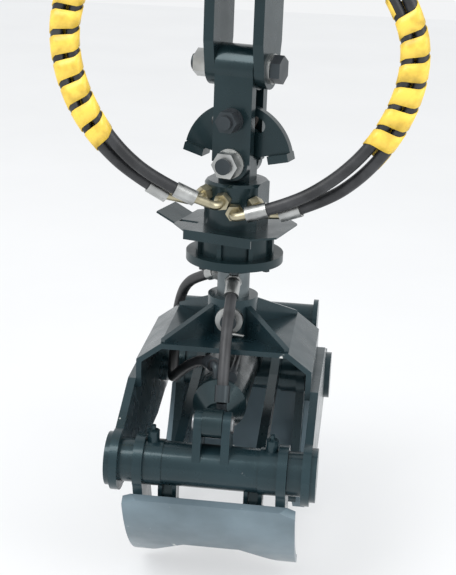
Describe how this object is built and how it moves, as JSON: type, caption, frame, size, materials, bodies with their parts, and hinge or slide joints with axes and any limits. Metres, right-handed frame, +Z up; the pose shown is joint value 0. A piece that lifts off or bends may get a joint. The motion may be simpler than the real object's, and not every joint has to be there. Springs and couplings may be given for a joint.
{
  "type": "log grapple",
  "caption": "Hanging log grapple: hanger and swing-brake link, hydraulic rotator with hoses, arched hood frame, two curved blade jaws closed by a level cylinder and tied by crossing bars.",
  "frame": {"origin": "centre of the hanger's flat top face", "axes": "+Z up, +X along the jaw pivots to the right seen from the front jaw, -Y towards the front jaw"},
  "size_m": [0.5264, 0.519, 0.9254],
  "materials": {
    "grey_paint": "gloss",
    "blade_paint": "gloss, worn bright on the edge",
    "black_paint": "gloss",
    "black_cast": "painted, satin",
    "dark_bolt": "black oxide",
    "zinc": "zinc plated",
    "bare_steel": "machined",
    "chrome_rod": "hard chrome",
    "bronze": "satin",
    "brake_lining": "matt",
    "hose_wrap": "spiral guard over rubber",
    "hose_rubber": "satin",
    "dark_fitting": "satin"
  },
  "bodies": {
    "hanger": {"hanger_fork": "black_paint", "crane_bolt": "dark_bolt", "crane_nut_set": "zinc"},
    "link": {"link_block": "black_paint", "crane_bush": "bronze", "pivot_bolt": "zinc", "brake_bolt": "zinc", "link_nuts": "zinc", "brake_discs": "brake_lining"},
    "stator": {"brake_sector": "black_paint", "rotator_head": "black_paint", "shield_plate": "black_paint", "stator_housing": "black_cast", "stator_flange": "black_cast", "flange_bolts": "dark_bolt", "port_elbows": "zinc", "hose_ferrules": "zinc", "crane_couplings": "zinc", "hose_left_upper": "hose_wrap", "hose_left_lower": "hose_wrap", "hose_right_upper": "hose_wrap", "hose_right_lower": "hose_wrap"},
    "frame": {"rotor_shaft": "bare_steel", "hood": "grey_paint", "hub_socket": "grey_paint", "gussets": "grey_paint", "cheek_right": "grey_paint", "cheek_left": "grey_paint", "front_jaw_pin": "bare_steel", "rear_jaw_pin": "bare_steel", "pin_discs": "grey_paint", "pivot_spacers": "grey_paint", "hub_pin": "zinc", "hub_pin_collars": "zinc", "lynch_pin": "zinc", "inner_hose_front": "hose_rubber", "inner_hose_rear": "hose_rubber", "shaft_fittings": "zinc"},
    "front_jaw": {"front_torque_tube": "grey_paint", "front_arms": "grey_paint", "front_blade": "blade_paint", "front_bushes": "bronze", "front_grease_bosses": "grey_paint", "front_lever_lugs": "grey_paint", "front_lever_pins": "bare_steel"},
    "rear_jaw": {"rear_torque_tube": "grey_paint", "rear_arms": "grey_paint", "rear_blade": "blade_paint", "rear_bushes": "bronze", "rear_grease_bosses": "grey_paint", "rear_lever_lugs": "grey_paint", "rear_lever_pins": "bare_steel", "rear_cross_tube": "grey_paint"},
    "tie_bars": {"tie_bar_left": "grey_paint", "tie_bar_right": "grey_paint"},
    "barrel": {"cylinder_barrel": "black_paint", "cylinder_gland": "black_paint", "cylinder_ports": "dark_fitting"},
    "rod": {"piston_rod": "chrome_rod", "piston": "bare_steel"}
  },
  "joints": [
    {"name": "link_swing", "type": "hinge", "parent": "hanger", "child": "link", "pos_m": [0, 0, -0.128], "axis": [0.9613, -0.2756, 0], "range_deg": [-40, 40]},
    {"name": "rotator_swing", "type": "hinge", "parent": "link", "child": "stator", "pos_m": [0, 0, -0.267], "axis": [0.2756, 0.9613, 0], "range_deg": [-30, 30]},
    {"name": "rotator_spin", "type": "hinge", "parent": "stator", "child": "frame", "pos_m": [0, 0, -0.387], "axis": [0, 0, 1], "continuous": true},
    {"name": "front_jaw_swing", "type": "hinge", "parent": "frame", "child": "front_jaw", "pos_m": [0, -0.195, -0.678], "axis": [1, 0, 0], "range_deg": [-31, 31], "deforming": ["inner_hose_front", "inner_hose_rear"]},
    {"name": "rear_jaw_swing", "type": "hinge", "parent": "frame", "child": "rear_jaw", "pos_m": [0, 0.195, -0.678], "axis": [1, 0, 0], "range_deg": [-31, 31]},
    {"name": "barrel_pivot", "type": "hinge", "parent": "front_jaw", "child": "barrel", "pos_m": [0, -0.195, -0.61], "axis": [1, 0, 0], "range_deg": [-31, 31]},
    {"name": "rod_pivot", "type": "hinge", "parent": "rear_jaw", "child": "rod", "pos_m": [0, 0.195, -0.61], "axis": [1, 0, 0], "range_deg": [-31, 31]},
    {"name": "tie_bar_pivot", "type": "hinge", "parent": "front_jaw", "child": "tie_bars", "pos_m": [0, -0.195, -0.742], "axis": [1, 0, 0], "range_deg": [-31, 31]}
  ],
  "couplings": [
    {"joint": "rear_jaw_swing", "follows": "front_jaw_swing", "ratio": -1},
    {"joint": "barrel_pivot", "follows": "front_jaw_swing", "ratio": -1},
    {"joint": "rod_pivot", "follows": "front_jaw_swing", "ratio": 1},
    {"joint": "tie_bar_pivot", "follows": "front_jaw_swing", "ratio": -1}
  ]
}
